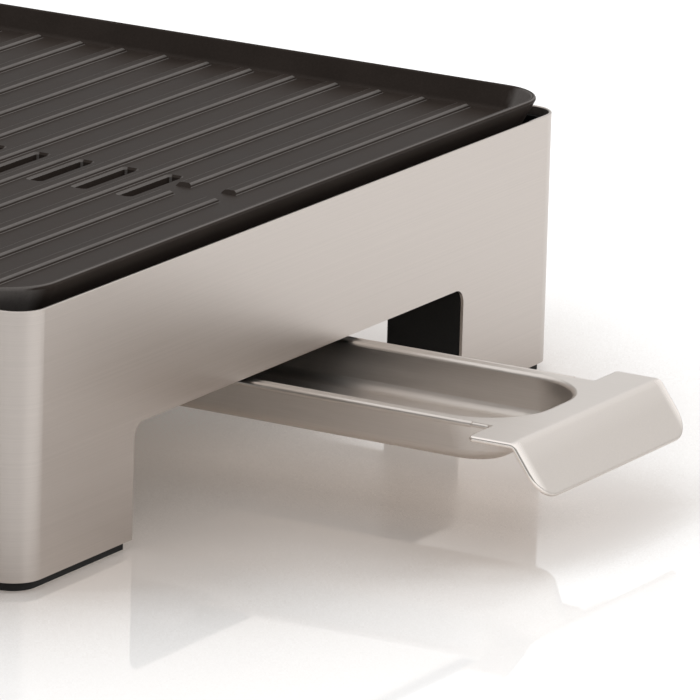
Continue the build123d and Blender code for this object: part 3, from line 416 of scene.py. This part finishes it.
# Dial plate
# A thin disc of steel lies behind the knob, clamped by the thermostat's nut. Its face was spun, so that it
# shines in rays from the middle, and a scale is printed on it.
dial_low, dial_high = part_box("dial_plate")
dial_centre = (dial_low + dial_high) / 2
dial_steel, tree, shader = new_finish("dial_steel", 1.0, 0.3)
rings = tree.nodes.new("ShaderNodeTexWave")
rings.wave_type = "RINGS"
rings.rings_direction = "X"
rings.inputs["Scale"].default_value = 1.0
rings.inputs["Distortion"].default_value = 0.6
tree.links.new(laid_on(tree, (900.0, 900.0, 900.0), dial_centre), rings.inputs["Vector"])
spinning = mingle(tree, rings.outputs["Fac"], grain(tree, (700.0, 700.0, 700.0), 3.0), 0.5)
surface(
    tree, shader,
    shades(tree, spinning, (0.2, (0.54, 0.52, 0.50)), (0.8, (0.64, 0.62, 0.60))),
    spread(tree, spinning, 0.24, 0.36),
    relief(tree, rings.outputs["Fac"], 0.000006),
)
lie_along(tree, shader, "X", 0.5)
dress(dial_steel, "dial_plate")

# Scale on the dial plate
# Black screen print: a short line for each step of heat and a longer one with a number every fifth step,
# clockwise from the top over the three quarters of a turn that the knob has.
scale_ink, tree, shader = new_finish("scale_ink", 0.0, 0.4)
mesh_marks = grain(tree, (3000.0, 3000.0, 3000.0))
surface(
    tree, shader,
    shades(tree, mesh_marks, (0.3, (0.008, 0.008, 0.008)), (0.7, (0.016, 0.016, 0.016))),
    spread(tree, mesh_marks, 0.34, 0.48),
    relief(tree, mesh_marks, 0.00001),
)
last_number, lines_per_number = 5, 5
line_turn = math.radians(270.0)
ink_thickness = 0.00008


def scale_lines_tree():
    """Node tree that sets printed lines round a circle that faces along X."""
    group = bpy.data.node_groups.new("scale_lines", "GeometryNodeTree")
    face = group.interface
    for name, kind in (
        ("Steps", "NodeSocketInt"), ("Turn", "NodeSocketFloat"), ("Radius", "NodeSocketFloat"),
        ("Length", "NodeSocketFloat"), ("Width", "NodeSocketFloat"), ("Thickness", "NodeSocketFloat"),
        ("Long Line Every", "NodeSocketInt"), ("Long Line Stretch", "NodeSocketFloat"),
        ("Ink", "NodeSocketMaterial"),
    ):
        face.new_socket(name, in_out="INPUT", socket_type=kind)
    face.new_socket("Geometry", in_out="OUTPUT", socket_type="NodeSocketGeometry")

    def add(kind, links, **settings):
        """A node with its sockets fed and its settings made."""
        made = group.nodes.new(kind)
        for name, value in settings.items():
            setattr(made, name, value)
        for socket, source in links.items():
            feed(group, source, made.inputs[socket])
        return made

    def reckon(operation, first, second=0.0):
        """One step of arithmetic."""
        return add("ShaderNodeMath", {0: first, 1: second}, operation=operation).outputs[0]

    given = group.nodes.new("NodeGroupInput").outputs
    index = group.nodes.new("GeometryNodeInputIndex").outputs[0]
    angle = reckon("DIVIDE", reckon("MULTIPLY", index, given["Turn"]), given["Steps"])
    across = reckon("MULTIPLY", reckon("SINE", angle), reckon("MULTIPLY", given["Radius"], -1.0))
    upward = reckon("MULTIPLY", reckon("COSINE", angle), given["Radius"])
    places = add("ShaderNodeCombineXYZ", {"Y": across, "Z": upward}).outputs[0]
    points = add("GeometryNodeMeshLine", {"Count": reckon("ADD", given["Steps"], 1.0)}).outputs[0]
    circle = add("GeometryNodeSetPosition", {"Geometry": points, "Position": places}).outputs[0]
    size = add(
        "ShaderNodeCombineXYZ", {"X": given["Thickness"], "Y": given["Width"], "Z": given["Length"]}
    ).outputs[0]
    bar = add("GeometryNodeMeshCube", {"Size": size}).outputs[0]
    outward = add("ShaderNodeCombineXYZ", {"Z": reckon("DIVIDE", given["Length"], 2.0)}).outputs[0]
    bar = add("GeometryNodeTransform", {"Geometry": bar, "Translation": outward}).outputs[0]
    rest = reckon("MODULO", index, given["Long Line Every"])
    is_long = reckon("LESS_THAN", rest, 0.5)
    added = reckon("SUBTRACT", given["Long Line Stretch"], 1.0)
    stretch = reckon("ADD", 1.0, reckon("MULTIPLY", is_long, added))
    sizes = add("ShaderNodeCombineXYZ", {"X": 1.0, "Y": 1.0, "Z": stretch}).outputs[0]
    turn = add("ShaderNodeCombineXYZ", {"X": angle}).outputs[0]
    lines = add(
        "GeometryNodeInstanceOnPoints", {"Points": circle, "Instance": bar, "Rotation": turn, "Scale": sizes}
    ).outputs[0]
    whole = add("GeometryNodeRealizeInstances", {"Geometry": lines}).outputs[0]
    inked = add("GeometryNodeSetMaterial", {"Geometry": whole, "Material": given["Ink"]}).outputs[0]
    add("NodeGroupOutput", {0: inked})
    return group


def piece(name, mesh, body):
    """A finished mesh made an object that rides on a body."""
    made = bpy.data.objects.new(name, mesh)
    bpy.context.scene.collection.objects.link(made)
    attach(made, body)


def from_nodes(name, group, **values):
    """A node tree's result as a plain mesh."""
    holder = bpy.data.objects.new(name, bpy.data.meshes.new(name))
    bpy.context.scene.collection.objects.link(holder)
    modifier = holder.modifiers.new(name, "NODES")
    modifier.node_group = group
    for item in group.interface.items_tree:
        if item.in_out == "INPUT":
            modifier[item.identifier] = values[item.name.lower().replace(" ", "_")]
    shown = holder.evaluated_get(bpy.context.evaluated_depsgraph_get())
    mesh = bpy.data.meshes.new_from_object(shown)
    bpy.data.objects.remove(holder)
    return mesh


dial_face = Vector((dial_low.x, dial_centre.y, dial_centre.z))
lines_mesh = from_nodes(
    "scale_lines", scale_lines_tree(), steps=last_number * lines_per_number, turn=line_turn, radius=0.0147,
    length=0.001, width=0.0003, thickness=ink_thickness, long_line_every=lines_per_number,
    long_line_stretch=1.6, ink=scale_ink,
)
lines_mesh.transform(Matrix.Translation(dial_face))
piece("scale_lines", lines_mesh, "housing")

number_height = 0.0026
height_per_size = 0.7
number_radius = 0.01775
facing_out = Matrix(((0, 0, -1), (-1, 0, 0), (0, 1, 0))).to_4x4()
for number in range(last_number + 1):
    words = bpy.data.curves.new(f"scale_number_{number}", "FONT")
    words.body = str(number)
    words.size = number_height / height_per_size
    words.align_x = "CENTER"
    words.align_y = "CENTER"
    words.extrude = ink_thickness / 2
    words.resolution_u = 6
    holder = bpy.data.objects.new(f"scale_number_{number}", words)
    bpy.context.scene.collection.objects.link(holder)
    shown = holder.evaluated_get(bpy.context.evaluated_depsgraph_get())
    number_mesh = bpy.data.meshes.new_from_object(shown)
    bpy.data.objects.remove(holder)
    angle = line_turn * number / last_number
    spot = dial_face + number_radius * Vector((0, -math.sin(angle), math.cos(angle)))
    number_mesh.transform(Matrix.Translation(spot) @ facing_out)
    number_mesh.materials.clear()
    number_mesh.materials.append(scale_ink)
    piece(f"scale_number_{number}", number_mesh, "housing")

# Knob and pointer
# The knob is a fluted moulding of black resin with a dull grain, pushed on the thermostat's shaft. A bar of
# ivory resin let into its front shows the setting.
knob_resin, tree, shader = new_finish("knob_resin", 0.0, 0.45)
dull = grain(tree, (2400.0, 2400.0, 2400.0))
worn = grain(tree, (120.0, 120.0, 120.0), 3.0)
surface(
    tree, shader,
    shades(tree, worn, (0.3, (0.012, 0.012, 0.012)), (0.7, (0.020, 0.0195, 0.019))),
    spread(tree, mingle(tree, dull, worn, 0.5), 0.38, 0.55),
    relief(tree, dull, 0.00003),
)
dress(knob_resin, "knob")
pointer_resin, tree, shader = new_finish("pointer_resin", 0.0, 0.3)
milky = grain(tree, (700.0, 700.0, 700.0), 3.0)
surface(
    tree, shader,
    shades(tree, milky, (0.3, (0.76, 0.74, 0.70)), (0.7, (0.84, 0.83, 0.80))),
    spread(tree, milky, 0.24, 0.38),
    relief(tree, milky, 0.00001),
)
dress(pointer_resin, "knob_pointer")

# Sensor bulb and capillary
# The bulb under the plate and the fine tube from it to the thermostat are copper, drawn bright and gone
# brown in places.
copper, tree, shader = new_finish("copper", 1.0, 0.3)
tarnish = grain(tree, (260.0, 260.0, 260.0), 4.0, 0.6)
surface(
    tree, shader,
    shades(tree, tarnish, (0.3, (0.70, 0.36, 0.24)), (0.55, (0.62, 0.30, 0.19)), (0.75, (0.32, 0.15, 0.10))),
    spread(tree, tarnish, 0.22, 0.45),
    relief(tree, tarnish, 0.00001),
)
dress(copper, "sensor_bulb", "capillary")

# Pilot lamp
# A lens of clear red resin shows when the element heats. It is domed outside and fluted inside, so that
# it glints in fine lines.
lens_low, lens_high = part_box("lamp_lens")
lens_red, tree, shader = new_finish("lens_red", 0.0, 0.1)
shader.inputs["Transmission Weight"].default_value = 0.5
shader.inputs["IOR"].default_value = 1.49
flutes = tree.nodes.new("ShaderNodeTexWave")
flutes.bands_direction = "Y"
flutes.inputs["Scale"].default_value = 1.0
tree.links.new(laid_on(tree, (300.0, 300.0, 300.0), (lens_low + lens_high) / 2), flutes.inputs["Vector"])
surface(
    tree, shader,
    shades(tree, flutes.outputs["Fac"], (0.1, (0.40, 0.012, 0.010)), (0.9, (0.66, 0.035, 0.025))),
    spread(tree, grain(tree, (500.0, 500.0, 500.0)), 0.06, 0.14),
    relief(tree, flutes.outputs["Fac"], 0.00008),
)
dress(lens_red, "lamp_lens")

# Mains inlet
# The inlet is a black moulding pushed through the band from outside, with three brass pins in its recess.
# The earth stud on the pan is of the same brass.
dress(ring_black, "mains_inlet")
brass, tree, shader = new_finish("brass", 1.0, 0.28)
drawn = grain(tree, (300.0, 2400.0, 2400.0), 3.0)
surface(
    tree, shader,
    shades(tree, drawn, (0.3, (0.60, 0.46, 0.22)), (0.7, (0.74, 0.60, 0.32))),
    spread(tree, drawn, 0.2, 0.36),
    relief(tree, drawn, 0.00001),
)
dress(brass, "inlet_pins", "earth_stud")

# Wires
# Stranded wires in heat-proof sleeves run from the inlet to thermostat, element and earth stud: brown and
# blue for the supply, green with a yellow stripe for earth.


def sleeve(name, dark, light, stripe=None):
    """Finish of a wire's sleeve, with a stripe where it has one."""
    finish, tree, shader = new_finish(name, 0.0, 0.45)
    wax = grain(tree, (500.0, 500.0, 500.0), 3.0)
    colour = shades(tree, wax, (0.3, dark), (0.7, light))
    if stripe:
        bands = tree.nodes.new("ShaderNodeTexWave")
        bands.bands_direction = "DIAGONAL"
        bands.inputs["Scale"].default_value = 1.0
        tree.links.new(laid_on(tree, (110.0, 110.0, 110.0)), bands.inputs["Vector"])
        colour = shades(tree, bands.outputs["Fac"], (0.5, dark), (0.56, stripe))
    surface(tree, shader, colour, spread(tree, wax, 0.36, 0.54), relief(tree, wax, 0.00002))
    return finish


dress(sleeve("sleeve_brown", (0.085, 0.035, 0.016), (0.12, 0.05, 0.024)), "wire_line", "wire_switched")
dress(sleeve("sleeve_blue", (0.02, 0.06, 0.24), (0.03, 0.085, 0.30)), "wire_neutral")
dress(sleeve("sleeve_green", (0.03, 0.16, 0.03), (0.04, 0.2, 0.04), (0.62, 0.50, 0.04)), "wire_earth")

# Studio floor
# A polished white board carries the grill. It is lit by the studio, and mirrors what stands on it a little,
# less clearly in the shade underneath. Its colour is painted darker and warmer where the grill shades it,
# and for camera and mirror rays it glows: white in the open, with a faint warm painted bounce light in the
# shade underneath.
floor_reach = 14.0
floor_mesh = bpy.data.meshes.new("studio_floor")
floor_corners = [(x * floor_reach, y * floor_reach, 0) for x, y in ((-1, -1), (1, -1), (1, 1), (-1, 1))]
floor_mesh.from_pydata(floor_corners, [], [(0, 1, 2, 3)])
floor = bpy.data.objects.new("studio_floor", floor_mesh)
bpy.context.scene.collection.objects.link(floor)
floor_white, tree, shader = new_finish("floor_white", 0.0, 0.04)
shader.inputs["IOR"].default_value = 2.1
closeness = tree.nodes.new("ShaderNodeAmbientOcclusion")
closeness.samples = 8
closeness.inputs["Distance"].default_value = 0.4
openness = closeness.outputs["AO"]
# Painted shade: the floor's colour turns darker and warmer where the grill's nearness hides the room.
painted_shade_white = shades(
    tree, openness, (0.0, (0.9, 0.81, 0.74)), (0.5, (0.66, 0.6, 0.555)), (0.78, (0.69, 0.648, 0.615)),
    (0.93, (0.93, 0.926, 0.922)),
)
dull_below = shades(tree, openness, (0.2, (0.3, 0.3, 0.3)), (0.36, (0.04, 0.04, 0.04)))
surface(tree, shader, painted_shade_white, dull_below)
floor_mesh.materials.append(floor_white)
path = tree.nodes.new("ShaderNodeLightPath").outputs
seen = worked_out(tree, "MAXIMUM", path["Is Camera Ray"], path["Is Glossy Ray"])
seen = worked_out(tree, "MAXIMUM", seen, path["Is Transmission Ray"])
glow = tree.nodes.new("ShaderNodeEmission")
tree.links.new(seen, glow.inputs["Strength"])
# Painted light: for camera and mirror rays the floor glows, a little warm in the shade under the grill, not
# at all just around it, and white in the open.
painted_bounce_glow = shades(
    tree, openness, (0.0, (0.13, 0.115, 0.10)), (0.5, (0.04, 0.036, 0.033)), (0.82, black),
    (0.97, (0.2, 0.2, 0.2)),
)
tree.links.new(painted_bounce_glow, glow.inputs["Color"])
lifted = tree.nodes.new("ShaderNodeAddShader")
tree.links.new(shader.outputs["BSDF"], lifted.inputs[0])
tree.links.new(glow.outputs["Emission"], lifted.inputs[1])
tree.links.new(lifted.outputs["Shader"], tree.nodes["Material Output"].inputs["Surface"])

# Studio light
# A white room all round, dimmer low down on the side where the camera stands. In mirrors it has a bright
# ceiling and a bright wall behind the grill, and a wide soft lamp stands high at the back.
world = bpy.data.worlds.new("studio_room")
world.use_nodes = True
bpy.context.scene.world = world
tree = world.node_tree
room = tree.nodes["Background"]
room.inputs["Color"].default_value = (1.0, 1.0, 1.0, 1.0)
facing = tree.nodes.new("ShaderNodeTexCoord").outputs["Generated"]
height = axes(tree, facing)["Z"]


def eased(source, low, high, start, end):
    """A value that eases from start to end while its source goes from low to high."""
    ease = tree.nodes.new("ShaderNodeMapRange")
    ease.interpolation_type = "SMOOTHSTEP"
    for socket, value in (("From Min", low), ("From Max", high), ("To Min", start), ("To Max", end)):
        ease.inputs[socket].default_value = value
    tree.links.new(source, ease.inputs["Value"])
    return ease.outputs["Result"]


def towards(direction):
    """How far the room lies towards a direction, from one to minus one."""
    along = tree.nodes.new("ShaderNodeVectorMath")
    along.operation = "DOT_PRODUCT"
    along.inputs[1].default_value = direction
    tree.links.new(facing, along.inputs[0])
    return along.outputs["Value"]


camera_side, back_side = (0.2, -0.97, 0.1), (0.57, 0.82, 0.0)
on_camera_side = eased(towards(camera_side), 0.0, 0.75, 0.0, 1.0)
dimming = worked_out(tree, "MULTIPLY", on_camera_side, eased(height, 0.1, 0.55, 0.65, 0.0))
left_over = worked_out(tree, "SUBTRACT", 1.0, dimming)
room_light = worked_out(tree, "MULTIPLY", eased(height, 0.0, 0.75, 0.6, 1.2), left_over)
ceiling = eased(height, 0.42, 0.72, 0.0, 1.0)
on_back_side = eased(towards(back_side), -0.05, 0.5, 0.0, 1.0)
back_wall = worked_out(tree, "MULTIPLY", eased(height, 0.02, 0.34, 0.0, 1.0), on_back_side)
mirrored = eased(worked_out(tree, "MAXIMUM", ceiling, back_wall), 0.0, 1.0, 0.3, 1.04)
path = tree.nodes.new("ShaderNodeLightPath").outputs
unseen = mingle(tree, room_light, mirrored, path["Is Glossy Ray"])
tree.links.new(mingle(tree, unseen, 1.0, path["Is Camera Ray"]), room.inputs["Strength"])
world.cycles.sampling_method = "NONE"
lamp_light = bpy.data.lights.new("back_lamp", "AREA")
lamp_light.shape = "RECTANGLE"
lamp_light.size, lamp_light.size_y = 1.0, 0.6
lamp_light.energy = 9.0
lamp = bpy.data.objects.new("back_lamp", lamp_light)
bpy.context.scene.collection.objects.link(lamp)
lamp_place, lamp_aim = Vector((1.3, 1.5, 1.0)), Vector((0.1, 0.0, 0.0))
lamp.location = lamp_place
lamp.rotation_mode = "QUATERNION"
lamp.rotation_quaternion = (lamp_aim - lamp_place).to_track_quat("-Z", "Y")
lamp.visible_camera = False
lamp.visible_glossy = False
bpy.context.scene.view_settings.view_transform = "Standard"

# Camera
# A long lens looks across the near corner of the grill, beside its tray, from a little above. The camera
# is rolled slightly, and its picture is square.
camera_data = bpy.data.cameras.new("studio_camera")
camera = bpy.data.objects.new("studio_camera", camera_data)
bpy.context.scene.collection.objects.link(camera)
bpy.context.scene.camera = camera
half_picture_pixels, focal_length_pixels = 350.0, 8701.6
camera_data.angle = 2 * math.atan(half_picture_pixels / focal_length_pixels)
camera_data.clip_start, camera_data.clip_end = 0.1, 60.0
swing, tilt, roll = (math.radians(angle) for angle in (59.97, 15.03, 1.63))
ahead = Vector((-math.cos(tilt) * math.cos(swing), math.cos(tilt) * math.sin(swing), -math.sin(tilt)))
across = ahead.cross(Vector((0, 0, 1))).normalized()
upward = across.cross(ahead)
right = math.cos(roll) * across + math.sin(roll) * upward
top = math.cos(roll) * upward - math.sin(roll) * across
camera_distance = 2.78243
aim = Vector((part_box("housing_shell")[1].x, 0.02881, 0.03506))
turned = Matrix((right, top, -ahead)).transposed().to_4x4()
camera.matrix_world = Matrix.Translation(aim - ahead * camera_distance) @ turned
